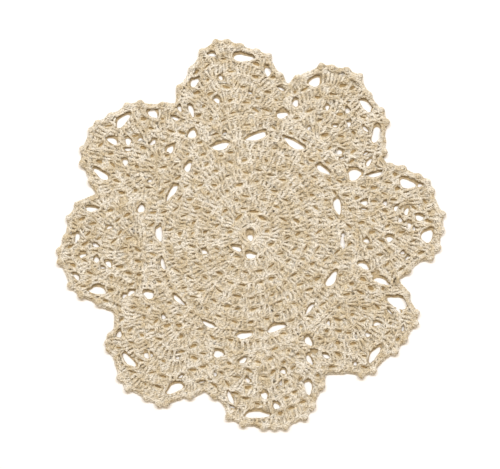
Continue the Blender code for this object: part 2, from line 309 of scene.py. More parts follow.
# petal: (turn from its axis, radius from the hub, length, width, tilt from across the petal)
smallGaps = {
    0: ((-8.5, 49.9, 2.5, 2.1, 77), (7.3, 59.8, 2.5, 1.5, 0), (-0.2, 64.7, 2.4, 2.0, 7),
        (-14.5, 68.2, 2.2, 1.8, 119), (-4.0, 70.4, 2.6, 1.0, 173), (10.2, 76.2, 2.1, 1.9, 110),
        (-5.5, 39.9, 2.3, 1.4, 0)),
    1: ((8.6, 53.2, 2.3, 1.4, 136), (6.4, 64.9, 2.7, 1.5, 115)),
    2: ((-7.9, 61.9, 2.0, 1.5, 97), (20.7, 63.2, 2.7, 1.8, 106), (2.5, 69.8, 2.6, 1.6, 119),
        (5.9, 45.8, 2.3, 1.9, 0)),
    3: ((9.7, 49.5, 2.2, 1.9, 54), (-18.9, 60.4, 3.0, 1.8, 113)),
    4: ((-9.7, 50.2, 2.3, 1.0, 174), (18.9, 59.6, 2.5, 1.7, 136)),
    5: ((-8.6, 50.5, 2.3, 1.9, 144), (7.4, 59.9, 3.0, 1.5, 133)),
    6: ((-20.4, 60.6, 1.9, 1.5, 111), (-7.0, 61.3, 2.4, 1.7, 129), (6.0, 63.9, 2.5, 1.5, 77)),
    7: ((-9.3, 49.9, 2.7, 1.4, 44), (-4.7, 62.2, 2.5, 1.0, 43), (-1.1, 65.5, 2.4, 1.8, 38),
        (-11.8, 70.5, 2.0, 1.5, 54), (12.4, 70.8, 3.0, 1.6, 84), (7.7, 76.3, 2.8, 1.0, 31)),
}


def polar(angle, radius):
    turn = np.radians(angle)
    return np.stack([radius * np.cos(turn), radius * np.sin(turn)], axis=-1)


hub = np.array(mat["hub"])
discMiddle = hub + (0, mat["discRise"])
for petal, spots in smallGaps.items():
    axis = mat["petalAxes"][petal]
    for turn, radius, length, width, tilt in spots:
        gaps.append(dict(middle=hub + polar(axis + turn, radius),
                         half=np.array([length, width]) / 2,
                         way=polar(axis - 90 + tilt, 1.0)))


# The thread, and how it keeps clear of the gaps and inside the rim

thread = dict(
    width=0.94,             # mm, size 10 cotton as it lies in a stitch
    pressed=0.38,           # its height as a share of its width
    sides=5,
    smoothness=1,           # lengths of tube between two points of a path
    girth=0.07,             # share by which the thread swells and thins
    stray=(0.14, 0.08),     # mm, how far a point strays in the plane and in height
    gapCore=0.72,           # a path breaks off nearer to a gap's middle than this share
    gapReach=1.0,           # mm beside a gap over which the stitches are crowded
    pitReach=0.7,           # mm, the same beside a pit
    rimReach=1.2,           # mm outside the rim at which a path breaks off
    rimBand=1.40,           # mm inside the rim that the worked edge takes up
    rimSearch=2.8,          # mm inside the rim's nearest point from which paths are held to it
    dive=0.22,              # mm that the end of a broken path sinks
    fewest=4,               # points that a length of path has at least
)
clear = thread["width"] / 2


def makeHole(middle, half, way, band, reach, through=False):
    # a gap, or a pit between stitches that may go through: half axes, direction of the long one,
    # mm round it that stay free of stitches, and mm beyond over which they are crowded
    return dict(middle=np.array(middle), half=np.array(half), way=way, band=band, reach=reach,
                through=through, waves=[(number, share, dice.uniform(0, fullTurn))
                                        for number, share in mat["gapWaves"]])


def closedIn(gap):
    # the opening that is left of a gap inside its lip
    most = lip["most"] * gap["half"][1]
    drop, aside = min(lip["drop"], most), min(lip["aside"], most / 2)
    half = gap["half"] - drop * np.abs(gap["way"][::-1]) - aside
    return dict(gap, middle=gap["middle"] - (0, drop), half=half)


def wallOf(gap):
    # where the stitches begin round an opening: a little way up from its upper side
    full = min(1, max(lip["ledgeLeast"], gap["half"][1] / lip["ledgeFrom"]))
    rise = lip["ledge"] / 2 * full
    return dict(middle=gap["opening"]["middle"] + (0, rise),
                half=gap["opening"]["half"] + rise * np.abs(gap["way"][::-1]))


def gapAt(point):
    return min(range(len(gaps)), key=lambda index: np.hypot(*(gaps[index]["middle"] - point)))


slits = [gapAt(slit) for slit in lip["slits"]]
hubGap = gapAt(lip["hub"])
gaps[hubGap].update(way=np.array([0.0, 1.0]), middle=np.array(lip["hubWall"][0]),
                    half=np.array(lip["hubWall"][1]))
for index, gap in enumerate(gaps):
    hole = makeHole(gap["middle"], gap["half"], gap["way"], -lip["over"], thread["gapReach"])
    hole["opening"] = closedIn(hole)
    if index == hubGap:
        hole["opening"].update(middle=np.array(lip["hubOpening"][0]),
                               half=np.array(lip["hubOpening"][1]))
    else:
        hole.update(wallOf(hole))
    gaps[index] = hole
pitHoles = []
for index in sorted(slits, reverse=True):
    slit = gaps.pop(index)
    slit.update(half=np.array(lip["slitHalf"]), band=0.0)
    pitHoles.append(slit)
for spot in lip["hubPits"]:
    pitHoles.append(makeHole(spot, lip["hubPitHalf"], polar(lip["hubPitTurn"], 1.0), 0.0,
                             thread["pitReach"]))
openings = [gap["opening"] for gap in gaps]


def holeEdge(hole, angle):
    return 1 + sum(share * np.sin(number * angle + start) for number, share, start in hole["waves"])


def holeShare(points, hole, grow=0.0):
    # 1 on a hole's edge and 0 at its middle, with the angle round the hole
    along = hole["way"]
    aside = np.array([-along[1], along[0]])
    offset = points - hole["middle"]
    local = np.stack([offset @ along, offset @ aside], axis=-1) / (hole["half"] + grow)
    angle = np.arctan2(local[:, 1], local[:, 0])
    return np.hypot(local[:, 0], local[:, 1]) / holeEdge(hole, angle), angle


def holePoint(hole, share, angle, grow=0.0):
    along = hole["way"]
    aside = np.array([-along[1], along[0]])
    around = np.stack([np.cos(angle), np.sin(angle)], axis=-1)
    local = np.reshape(share * holeEdge(hole, angle), (-1, 1)) * around * (hole["half"] + grow)
    return hole["middle"] + local[:, :1] * along + local[:, 1:] * aside


def isNear(points, middle, reach):
    return np.hypot(*(points - middle).T) < reach


def holesNear(plane, holes):
    # those holes that a path comes near, each with how near
    low, high = plane.min(axis=0), plane.max(axis=0)
    near = []
    for hole in holes:
        reach = (hole["half"][0] + hole["band"] + clear + hole["reach"]) * mat["gapRoom"]
        if (hole["middle"] > low - reach).all() and (hole["middle"] < high + reach).all():
            near.append((hole, reach))
    return near


def nearestRim(points, rim, atOnce=2000):
    # signed distance to a closed loop, above 0 inside it, and the nearest point on it;
    # so many points at once, to keep the tables small
    spans = np.roll(rim, -1, axis=0) - rim
    lengths = (spans ** 2).sum(axis=1)
    distance = np.empty(len(points))
    closest = np.empty((len(points), 2))
    for first in range(0, len(points), atOnce):
        part = points[first:first + atOnce, None, :]
        share = np.clip(((part - rim) * spans).sum(axis=2) / lengths, 0, 1)
        on = rim + share[:, :, None] * spans
        away = ((part - on) ** 2).sum(axis=2)
        best = away.argmin(axis=1)
        each = np.arange(len(best))
        closest[first:first + atOnce] = on[each, best]
        above = rim[:, 1] > part[:, :, 1]
        passed = above != np.roll(above, -1, axis=1)
        with np.errstate(divide="ignore", invalid="ignore"):
            cross = rim[:, 0] + (part[:, :, 1] - rim[:, 1]) * spans[:, 0] / spans[:, 1]
        inside = (passed & (part[:, :, 0] < cross)).sum(axis=1) % 2 == 1
        distance[first:first + atOnce] = np.where(inside, 1, -1) * np.sqrt(away[each, best])
    return distance, closest


rimFrom = np.hypot(*(outline - hub).T).min() - thread["rimSearch"]
hair = 1e-6                     # mm, a distance too short to give a direction


def keepClear(plane, holes, band=0.0):
    # points over a hole go to its edge, and points past the rim go back inside it
    for hole, reach in holesNear(plane, holes):
        near = isNear(plane, hole["middle"], reach)
        if near.any():
            share, angle = holeShare(plane[near], hole, clear)
            plane[near] = holePoint(hole, np.maximum(share, 1.0), angle, clear)
    inset = clear + band
    depth = np.full(len(plane), inset)
    far = ~isNear(plane, hub, rimFrom)
    if far.any():
        distance, closest = nearestRim(plane[far], outline)
        inward = (plane[far] - closest) / np.where(np.abs(distance) < hair, hair, distance)[:, None]
        plane[far] += inward * (inset - np.minimum(distance, inset))[:, None]
        depth[far] = distance
    return depth


def settle(path, holes):
    # one thread path laid round the holes and inside the rim, as the lengths that are left of it
    plane = path[:, :2] + dice.normal(0, thread["stray"][0], (len(path), 2))
    height = path[:, 2] + dice.normal(0, thread["stray"][1], len(path))
    free = np.ones(len(path), bool)
    for hole, reach in holesNear(plane, holes):
        near = isNear(plane, hole["middle"], reach)
        if not near.any():
            continue
        grow = clear + hole["band"]
        share, angle = holeShare(plane[near], hole, grow)
        limit = 1 + hole["reach"] / (hole["half"].mean() + grow)
        free[near] &= share > thread["gapCore"]
        pushed = np.where(share < limit, 1 + share * (limit - 1) / limit, share)
        plane[near] = np.where((share < limit)[:, None],
                               holePoint(hole, pushed, angle, grow), plane[near])
    distance = keepClear(plane, holes, thread["rimBand"])
    free &= distance > -thread["rimReach"]
    breaks = np.flatnonzero(np.diff(free.astype(int))) + 1
    runs = [run for run in np.split(np.arange(len(path)), breaks)
            if free[run[0]] and len(run) >= thread["fewest"]]
    for run in runs:
        for end, whole in ((run[0], 0), (run[-1], len(path) - 1)):
            if end != whole:
                height[end] -= thread["dive"]
    settled = np.column_stack([plane, np.maximum(height, clear)])
    return [settled[run] for run in runs]


paths = {}


def lay(piece, path, closed=False):
    paths.setdefault(piece, []).append((path, closed))


# Stitches. Across a stitch is u, in stitches; up it is v, in rows; the third is height in mm

stitch = dict(
    width=1.95,             # mm along the round
    # the post: two strands that wind round each other
    foot=-0.06,             # rows up from the row's start
    top=1.02,
    turn=1.7,               # mm up the post for one turn of the strands
    turnPoints=4,
    sway=0.21,              # stitches that a strand swings to either side
    lift=0.13,              # mm that it rises and sinks
    height=1.32,            # mm
    ends=0.95,              # mm, its height at the post's foot and top
    stray=0.13,             # stitches that a post stands beside its place
    lean=0.18,              # stitches that its top stands beside its foot
    group=(2, 5),           # fewest and most posts that lean together, the most left out
    gather=0.12,            # share by which their feet draw together
    # one side of the chain along the top: along the round in stitches, aside and height in mm
    chain=((0.04, -0.05, 1.12), (0.28, 0.26, 1.42), (0.54, 0.46, 1.55), (0.80, 0.42, 1.40)),
    chainUp=0.99,           # rows up to the chain
    chainWide=(0.6, 1.3),   # share by which it is narrower or wider
    # the strands between two posts: the part of the row's height that has them, mm from one to
    # the next, half length and stray in stitches, height and its unevenness in mm
    wrapSpan=dict(hub=(0.04, 0.92), disc=(0.36, 0.92), petal=(0.36, 0.92)),
    wrapPitch=0.80,
    wrapReach=0.32,
    wrapStray=0.07,
    wrapHeight=1.22,
    wrapLift=0.06,
)

# The hand's unevenness, as waves over the mat: shortest and longest in mm, and how many
hand = dict(
    warp=0.45,              # mm that the rows waver in the plane
    warpWaves=(8, 16, 8),
    hollow=0.48,            # mm that the face sinks between its higher places
    hollowMost=1.5,         # times that, where the waves meet
    hollowWaves=(3.4, 7, 12),
    shift=6.3,              # radians, the most that a wave is shifted by
)


def waves(shortest, longest, count):
    made = []
    for _ in range(count):
        turn = dice.uniform(0, fullTurn)
        steepness = fullTurn / dice.uniform(shortest, longest)
        made.append((steepness * math.cos(turn), steepness * math.sin(turn),
                     dice.uniform(0, hand["shift"])))
    return made


handWaves = dict(x=waves(*hand["warpWaves"]), y=waves(*hand["warpWaves"]),
                 z=waves(*hand["hollowWaves"]))


def unevenness(plane, kind):
    # about -1 to 1, with waves of its own for each kind
    total = np.zeros(len(plane))
    for along, across, start in handWaves[kind]:
        total += np.sin(plane[:, 0] * along + plane[:, 1] * across + start)
    return total / math.sqrt(len(handWaves[kind]))


def hollow(plane):
    return hand["hollow"] * np.clip(unevenness(plane, "z"), 0, hand["hollowMost"])


def warped(plane):
    return plane + hand["warp"] * np.column_stack([unevenness(plane, "x"), unevenness(plane, "y")])


# Every row is planned first, so that the pits between its groups of posts are known

pits = dict(
    # half length and half width in mm, share of them that goes through, how many rows up
    disc=dict(half=(1.25, 0.40), open=0.0, up=0.22),
    petal=dict(half=(1.45, 0.52), open=0.08, up=0.20),
    vary=0.28,              # how much their sizes vary
    least=0.3,              # mm, what half a length or a width is at least and at most
    most=1.6,
    strayAlong=0.15,        # stitches that they lie beside the middle between two posts
    strayUp=0.1,            # rows, the same up the row
    follow=0.35,            # how far they turn from straight across the mat into their row
    ahead=0.2,              # stitches ahead to where that way is read
    tilt=0.25,              # radians that they turn out of that
    clearOfGaps=1.6,        # mm
    clearOfRim=2.6,         # mm
    apart=4.2,              # mm, least distance between two
)
rows = []


def addPit(middle, way, form, inside):
    # every draw is made for a pit that finds no room, too, so that the others stay as they are
    turn = pits["follow"] * math.atan(way[1] / way[0]) + dice.normal(0, pits["tilt"])
    half = np.array(form["half"]) * (1 + pits["vary"] * dice.normal(0, 1, 2))
    half = np.sort(np.clip(half, pits["least"], pits["most"]))[::-1]
    through = dice.random() < form["open"]
    if not inside:
        return
    if any(isNear(middle, other["middle"], pits["apart"]) for other in pitHoles):
        return
    if any(holeShare(middle[None], gap, pits["clearOfGaps"])[0][0] < 1 for gap in gaps):
        return
    pitHoles.append(makeHole(middle, half, polar(math.degrees(turn), 1.0), 0.0,
                             thread["pitReach"], through))


def planRow(piece, kind, place, count, height):
    # place(u, v) gives the point of the mat, height is the row's in mm
    sizes = dice.integers(*stitch["group"], count)
    bounds = np.concatenate([[0], np.cumsum(sizes)])
    bounds = np.append(bounds[bounds < count], count) - 0.5
    rows.append(dict(piece=piece, kind=kind, place=place, count=count, height=height,
                     bounds=bounds))
    if len(bounds) < 3 or kind == "hub":     # the round at the hub is worked close, with no pits
        return
    dice.random(count - 1)     # one draw a post is let go, so that those after it stay the same
    u = bounds[1:-1] + dice.uniform(-pits["strayAlong"], pits["strayAlong"], len(bounds) - 2)
    v = pits[kind]["up"] + dice.uniform(-pits["strayUp"], pits["strayUp"], len(u))
    middles = warped(place(u, v))
    ways = place(u + pits["ahead"], v) - place(u, v)
    inside = nearestRim(middles, outline)[0] > pits["clearOfRim"]
    for middle, way, fits in zip(middles, ways, inside):
        addPit(middle, way, pits[kind], fits)


def repeated(shape, count):
    # a shape repeated along a round, as one path
    table = np.array(shape)
    return np.concatenate([table + (index, 0, 0) for index in range(count)])


def gathered(u, v, bounds):
    # the feet of a group of posts draw together
    which = np.clip(np.searchsorted(bounds, u) - 1, 0, len(bounds) - 2)
    middle = (bounds[which] + bounds[which + 1]) / 2
    return middle + (u - middle) * (1 - stitch["gather"] * np.clip(1 - v, 0, 1))


def layRuns(piece, plane, height, holes):
    # lays a path with the hand's unevenness in it
    for run in settle(np.column_stack([warped(plane), height - hollow(plane)]), holes):
        lay(piece, run)


def posts(count, rowHeight):
    # every post of a row as one path, up one strand and down the other
    steps = max(3, round(rowHeight / stitch["turn"] * stitch["turnPoints"]))
    up = np.linspace(0, 1, steps + 1)
    climb = np.concatenate([up, up[::-1]])
    phase = dice.uniform(0, fullTurn, (count, 1))
    angle = fullTurn * rowHeight / stitch["turn"] * climb + phase
    angle = angle + np.repeat([0, math.pi], steps + 1)
    u = np.arange(count)[:, None] + stitch["sway"] * np.cos(angle)
    v = np.tile(stitch["foot"] + (stitch["top"] - stitch["foot"]) * climb, (count, 1))
    height = stitch["height"] + stitch["lift"] * np.sin(angle)
    height[:, (climb == 0) | (climb == 1)] = stitch["ends"]
    return u.ravel(), v.ravel(), height.ravel()


def wraps(count, rowHeight, span):
    # the strands that lie across between each two posts, as one path that climbs in a zigzag
    steps = 2 * max(1, round(rowHeight * np.ptp(span) / stitch["wrapPitch"] / 2))
    start, end = span
    v = start + (end - start) * (np.arange(steps) + 0.5) / steps
    v = np.tile(v, (count, 1)) + dice.normal(0, stitch["wrapStray"], (count, steps))
    side = np.where(np.arange(steps) % 2, 1, -1) * dice.choice([-1, 1], (count, 1))
    u = np.arange(count)[:, None] + 0.5 + stitch["wrapReach"] * side
    u = u + dice.normal(0, stitch["wrapStray"], (count, steps))
    u[1::2], v[1::2] = u[1::2, ::-1], v[1::2, ::-1]
    height = stitch["wrapHeight"] + stitch["wrapLift"] * dice.normal(0, 1, (count, steps))
    return u.ravel(), v.ravel(), height.ravel()


def workRow(row, holes):
    piece, place, count = row["piece"], row["place"], row["count"]
    spots = np.arange(count + 1)
    beside = dice.normal(0, stitch["stray"], count + 1)
    lean = dice.normal(0, stitch["lean"], count + 1)
    u, v, height = posts(count, row["height"])
    shift = np.interp(u + 0.5, spots, beside) + np.interp(u + 0.5, spots, lean) * (v - 0.5)
    layRuns(piece, place(gathered(u + shift, v, row["bounds"]), v), height, holes)
    u, v, height = wraps(count, row["height"], stitch["wrapSpan"][row["kind"]])
    layRuns(piece, place(u, v), height, holes)
    for side in (1, -1):
        u, aside, height = repeated(stitch["chain"], count).T
        wide = np.interp(u, spots, dice.uniform(*stitch["chainWide"], count + 1))
        v = stitch["chainUp"] + side * aside * wide / row["height"]
        layRuns(piece, place(u, v), height, holes)


# The disc, the openwork round and the base round

rounds = (
    # piece, kind of row, inner and outer radius in mm
    ("disc_inner_rounds", "hub", 4.7, 9.4),
    ("disc_inner_rounds", "disc", 9.4, 14.6),
    ("disc_inner_rounds", "disc", 14.6, 19.8),
    ("disc_inner_rounds", "disc", 19.8, 25.0),
    ("disc_inner_rounds", "disc", 25.0, 30.0),
    ("disc_outer_rounds", "disc", 30.0, 35.0),
    ("disc_outer_rounds", "disc", 35.0, 39.4),
    ("base_round", "disc", 39.4, 43.6),
    ("base_round", "disc", 43.6, 48.2),
)


def ovalFactor(angle):
    return 1 + mat["oval"] * np.cos(2 * (angle - math.radians(mat["ovalWay"])))


def roundRadius(plane):
    fromMiddle = plane - discMiddle
    angle = np.arctan2(fromMiddle[:, 1], fromMiddle[:, 0])
    return np.hypot(*fromMiddle.T) / ovalFactor(angle)


def planRound(piece, kind, inner, outer):
    start = dice.uniform(0, 1)     # radians
    count = round(math.pi * (inner + outer) / stitch["width"])

    def place(u, v):
        angle = fullTurn * u / count + start
        radius = inner + (outer - inner) * v
        return discMiddle + polar(np.degrees(angle), radius * ovalFactor(angle))

    planRow(piece, kind, place, count, outer - inner)


for roundOf in rounds:
    planRound(*roundOf)


# The plain ring at the hub, where the thread lies side by side round and round

hubRing = dict(
    inner=2.2,              # mm
    outer=5.0,
    spacing=0.62,           # mm between two turns
    step=0.9,               # mm between the points of a turn
    stray=(0.20, 0.10),     # mm, in the plane and in height, more than in a row
    height=(1.10, 1.32),    # mm, of the innermost turn and of the others
)


def workHubRing(holes):
    for radius in np.arange(hubRing["inner"], hubRing["outer"], hubRing["spacing"]):
        count = round(fullTurn * radius / hubRing["step"])
        angle = np.arange(count + 2) * 360 / count + dice.uniform(0, 360)
        plane = discMiddle + polar(angle, radius + dice.normal(0, hubRing["stray"][0], count + 2))
        height = hubRing["height"][radius > hubRing["inner"]]
        height = height + dice.normal(0, hubRing["stray"][1], count + 2)
        for run in settle(np.column_stack([plane, height]), holes):
            lay("disc_inner_rounds", run)


# The petals, each a fan of rows about its focus

petalRows = dict(
    pitch=5.9,              # mm from row to row on the axis
    flatten=0.14,           # rows lie this share closer beside the axis
    flattenBy=50.0,         # degrees from the axis
    rows=7,
    spread=112.0,           # degrees that a row can reach to either side
    least=0.3,              # mm, the least that a row's foot keeps from the focus
)


def planPetal(index):
    axis = mat["petalAxes"][index]
    focus = hub + polar(axis, mat["petalFocus"])
    before = mat["petalAxes"][index - 1]
    after = mat["petalAxes"][(index + 1) % len(mat["petalAxes"])]
    low = -((axis - before) % 360) / 2
    high = ((after - axis) % 360) / 2
    for row in range(petalRows["rows"]):
        middle = (row + 0.5) * petalRows["pitch"]
        step = math.degrees(stitch["width"] / middle)
        count = 2 * int(petalRows["spread"] / step) + 1
        shift = dice.uniform(-0.5, 0.5)

        def place(u, v, row=row, step=step, first=shift - count / 2):
            turn = (u + first) * step
            share = np.minimum(1, np.abs(turn) / petalRows["flattenBy"]) ** 2
            pitch = petalRows["pitch"] * (1 - petalRows["flatten"] * share)
            return focus + polar(axis + turn, np.maximum(petalRows["least"], (row + v) * pitch))

        # the row keeps the stitches that lie on the mat, in this petal's own sector
        middles = place(np.arange(count) + 0.0, np.full(count, 0.5))
        turn = (np.degrees(np.arctan2(*(middles - hub).T[::-1])) - axis + 180) % 360 - 180
        own = (turn > low) & (turn < high) & (roundRadius(middles) > mat["discRadius"])
        cells = np.flatnonzero(own & (nearestRim(middles, outline)[0] > -petalRows["pitch"]))
        for group in np.split(cells, np.flatnonzero(np.diff(cells) > 1) + 1):
            if len(group):
                planRow("petal_%d_rows" % (index + 1), "petal",
                        lambda u, v, place=place, start=group[0]: place(u + start, v),
                        len(group), petalRows["pitch"])


for index in range(len(mat["petalAxes"])):
    planPetal(index)
holes = gaps + pitHoles
openCount = len(openings) + sum(pit["through"] for pit in pitHoles)
print(len(rows), "rows planned,", len(pitHoles), "pits,", openCount, "holes go through")
workHubRing(holes)
for row in rows:
    workRow(row, holes)
print("rows worked")


# Cords along an edge, two strands wound round each other

def outward(loop):
    ahead = np.roll(loop, -1, axis=0) - np.roll(loop, 1, axis=0)
    ahead /= np.hypot(*ahead.T)[:, None]
    return np.stack([ahead[:, 1], -ahead[:, 0]], axis=-1)


def cordAlong(piece, length, pointAt, settings, aside, middleHeight):
    # pointAt(how far along the edge from 0 to 1, how far from it) gives the middle of the cord
    turns = max(2, round(length / settings["turn"]))
    count = turns * stitch["turnPoints"]
    along = np.arange(count) / count
    middle = pointAt(along, np.full(count, aside))
    ways = outward(middle)
    start = dice.uniform(0, fullTurn)
    for strand in (0, math.pi):
        angle = fullTurn * turns * along + start + strand
        plane = middle + ways * (settings["sway"] * np.cos(angle))[:, None]
        plane += dice.normal(0, settings["stray"], plane.shape)
        keepClear(plane, openings)
        height = middleHeight + settings["lift"] * np.sin(angle)
        height += dice.normal(0, settings["stray"], count)
        lay(piece, np.column_stack([plane, np.maximum(height, clear / 2)]), True)


# The chain along the rim, and the picots on it

rim = dict(
    smooth=2.6,             # mm over which the edge cuts across the scallops
    step=0.75,              # mm between the points of the edge's line
    # cords along it: mm from the rim, height in mm
    cords=((0.66, 0.72), (1.50, 1.25)),
    turn=2.6,               # mm along a cord for one turn of its two strands
    sway=0.32,              # mm
    lift=0.20,              # mm
    stray=0.13,             # mm
)


def readLine(line, marks, at):
    return np.column_stack([np.interp(at, marks, line[:, side]) for side in (0, 1)])


def evenLine(loop, step):
    # a closed loop read at even steps
    closed = np.vstack([loop, loop[:1]])
    travelled = np.concatenate([[0], np.cumsum(np.hypot(*np.diff(closed, axis=0).T))])
    count = round(travelled[-1] / step)
    at = np.linspace(0, travelled[-1], count, endpoint=False)
    return readLine(closed, travelled, at)


def smoothLine(loop, width):
    # each point becomes the mean of its neighbours on a closed loop
    reach = max(1, round(width / 2))
    return sum(np.roll(loop, shift, axis=0) for shift in range(-reach, reach + 1)) / (
        2 * reach + 1)


rimLine = evenLine(smoothLine(evenLine(outline, rim["step"]), rim["smooth"] / rim["step"]),
                   rim["step"])
rimWays = outward(rimLine)
rimShare = np.arange(len(rimLine) + 1) / len(rimLine)


def rimPoint(along, inset):
    # the edge's line read between its points, then moved into the mat
    line, ways = [readLine(np.vstack([part, part[:1]]), rimShare, along)
                  for part in (rimLine, rimWays)]
    return line - ways * inset[:, None]


for inset, height in rim["cords"]:
    cordAlong("rim_edging", len(rimLine) * rim["step"], rimPoint, rim, inset, height)

picot = dict(
    rings=((1.30, 1.40), (0.50, 1.70)),   # mm, radius and height of the knot's rings of thread
    inset=1.45,             # mm from the tip to its middle
    sway=0.26,              # mm
    lift=0.24,              # mm
    turn=2.3,               # mm
    stray=0.05,             # mm
    waver=0.12,             # share by which the ring strays from a round one
    apart=2.2,              # mm, least distance between two tips
    stands=0.22,            # mm that a tip stands out from the rim's smoothed line
    smooth=7.0,             # mm over which that line is smoothed
)


def picotTips():
    # where the rim stands out furthest, with the way out of the mat
    line = evenLine(outline, rim["step"])
    calm = smoothLine(line, picot["smooth"] / rim["step"])
    ways = outward(calm)
    stands = ((line - calm) * ways).sum(axis=1)
    reach = round(picot["apart"] / rim["step"])
    best = np.max([np.roll(stands, shift) for shift in range(-reach, reach + 1)], axis=0)
    chosen = np.flatnonzero((stands == best) & (stands > picot["stands"]))
    return line[chosen], ways[chosen]


def workPicot(tip, way):
    middle = tip - picot["inset"] * way
    start = dice.uniform(0, fullTurn)

    def around(along, reach):
        angle = fullTurn * along
        reach = reach * (1 + picot["waver"] * np.sin(2 * angle + start))
        return middle + polar(np.degrees(angle), 1.0) * reach[:, None]

    for reach, height in picot["rings"]:
        cordAlong("picots", fullTurn * reach, around, picot, reach, height)


tips, tipWays = picotTips()
for tip, way in zip(tips, tipWays):
    workPicot(tip, way)
print("rim worked,", len(tips), "picots")


# The thread itself, run along every path by Geometry Nodes

def addCapture(tree, geometry, name, value):
    # the geometry, with a value of each of its points carried along under a name
    node = addNode(tree, "GeometryNodeCaptureAttribute", {"Geometry": geometry})
    node.capture_items.new("FLOAT", name)
    tree.links.new(value, node.inputs[name])
    return node


def threadTree():
    tree = bpy.data.node_groups.new("thread along its path", "GeometryNodeTree")
    for name, way, kind in (
            ("Geometry", "INPUT", "Geometry"), ("Thread Width", "INPUT", "Float"),
            ("Sides", "INPUT", "Int"), ("Smoothness", "INPUT", "Int"),
            ("Pressed", "INPUT", "Float"), ("Material", "INPUT", "Material"),
            ("Geometry", "OUTPUT", "Geometry")):
        tree.interface.new_socket(name, in_out=way, socket_type="NodeSocket" + kind)

    # the paths are drawn up in height, so that the finished thread can be pressed flat again
    given = addNode(tree, "NodeGroupInput").outputs
    stretch = addMath(tree, "DIVIDE", 1.0, given["Pressed"])
    taller = addNode(tree, "ShaderNodeCombineXYZ", {"X": 1.0, "Y": 1.0, "Z": stretch})
    drawnUp = addNode(tree, "GeometryNodeTransform", {
        "Geometry": given["Geometry"], "Scale": taller})
    curves = addNode(tree, "GeometryNodeMeshToCurve", {"Mesh": drawnUp})
    splines = addNode(tree, "GeometryNodeCurveSplineType", {"Curve": curves},
                      spline_type="CATMULL_ROM")
    finer = addNode(tree, "GeometryNodeSetSplineResolution", {
        "Geometry": splines, "Resolution": given["Smoothness"]})
    girth = addNode(tree, "GeometryNodeInputNamedAttribute", {"Name": "girth"}, data_type="FLOAT")
    swelling = addNode(tree, "GeometryNodeSetCurveRadius", {"Curve": finer, "Radius": girth})
    alongPath = addCapture(tree, swelling, "along",
                           addNode(tree, "GeometryNodeSplineParameter").outputs["Length"])

    section = addNode(tree, "GeometryNodeCurvePrimitiveCircle", {
        "Resolution": given["Sides"],
        "Radius": addMath(tree, "MULTIPLY", given["Thread Width"], 0.5)})
    aroundSection = addCapture(tree, section, "around",
                               addNode(tree, "GeometryNodeSplineParameter").outputs["Factor"])
    tube = addNode(tree, "GeometryNodeCurveToMesh", {
        "Curve": alongPath, "Profile Curve": aroundSection, "Fill Caps": True})

    angle = addMath(tree, "MULTIPLY", aroundSection.outputs["around"], fullTurn)
    ply = addNode(tree, "ShaderNodeCombineXYZ", {
        "X": addMath(tree, "COSINE", angle), "Y": addMath(tree, "SINE", angle),
        "Z": alongPath.outputs["along"]})
    lower = addNode(tree, "ShaderNodeCombineXYZ", {"X": 1.0, "Y": 1.0, "Z": given["Pressed"]})
    flat = addNode(tree, "GeometryNodeTransform", {"Geometry": tube, "Scale": lower})
    kept = addNode(tree, "GeometryNodeStoreNamedAttribute", {
        "Geometry": flat, "Name": "ply", "Value": ply}, data_type="FLOAT_VECTOR", domain="POINT")
    smooth = addNode(tree, "GeometryNodeSetShadeSmooth", {"Geometry": kept})
    real = addNode(tree, "GeometryNodeRealizeInstances", {"Geometry": smooth})
    coated = addNode(tree, "GeometryNodeSetMaterial", {
        "Geometry": real, "Material": given["Material"]})
    addNode(tree, "NodeGroupOutput", {"Geometry": coated})
    return tree


windThread = threadTree()


def addObject(name, data):
    made = bpy.data.objects.new(name, data)
    bpy.context.scene.collection.objects.link(made)
    return made


def setValues(mesh, name, values):
    # one value for every point of a mesh
    mesh.attributes.new(name, "FLOAT", "POINT").data.foreach_set("value", values)


def setInputs(modifier, values):
    for item in modifier.node_group.interface.items_tree:
        if item.item_type == "SOCKET" and item.in_out == "INPUT" and item.name in values:
            modifier[item.identifier] = values[item.name]


def spin(piece):
    # every path of a piece becomes real thread, as one plain mesh
    points, edges = [], []
    first = 0
    for path, closed in paths[piece]:
        count = len(path)
        edges.append(np.stack([np.arange(count - 1), np.arange(1, count)], axis=-1) + first)
        if closed:
            edges.append(np.array([[first + count - 1, first]]))
        points.append(path)
        first += count
    points = np.concatenate(points) * mm
    mesh = bpy.data.meshes.new(piece)
    mesh.from_pydata(points.tolist(), np.concatenate(edges).tolist(), [])
    setValues(mesh, "girth", 1 + dice.normal(0, thread["girth"], len(points)))
    source = addObject(piece, mesh)
    modifier = source.modifiers.new("thread", "NODES")
    modifier.node_group = windThread
    setInputs(modifier, {
        "Thread Width": thread["width"] * mm, "Sides": thread["sides"],
        "Smoothness": thread["smoothness"], "Pressed": thread["pressed"], "Material": cotton})
    graph = bpy.context.evaluated_depsgraph_get()
    spun = bpy.data.meshes.new_from_object(
        source.evaluated_get(graph), preserve_all_data_layers=True, depsgraph=graph)
    source.modifiers.clear()
    source.data = spun
    bpy.data.meshes.remove(mesh)
    triangles = sum(len(face.vertices) - 2 for face in spun.polygons)
    print(piece, len(paths[piece]), "paths,", triangles, "triangles")
    return source


yarnPieces = [spin(piece) for piece in paths]


# The ground under the stitches: one closed form of matted strands, with the gaps through it

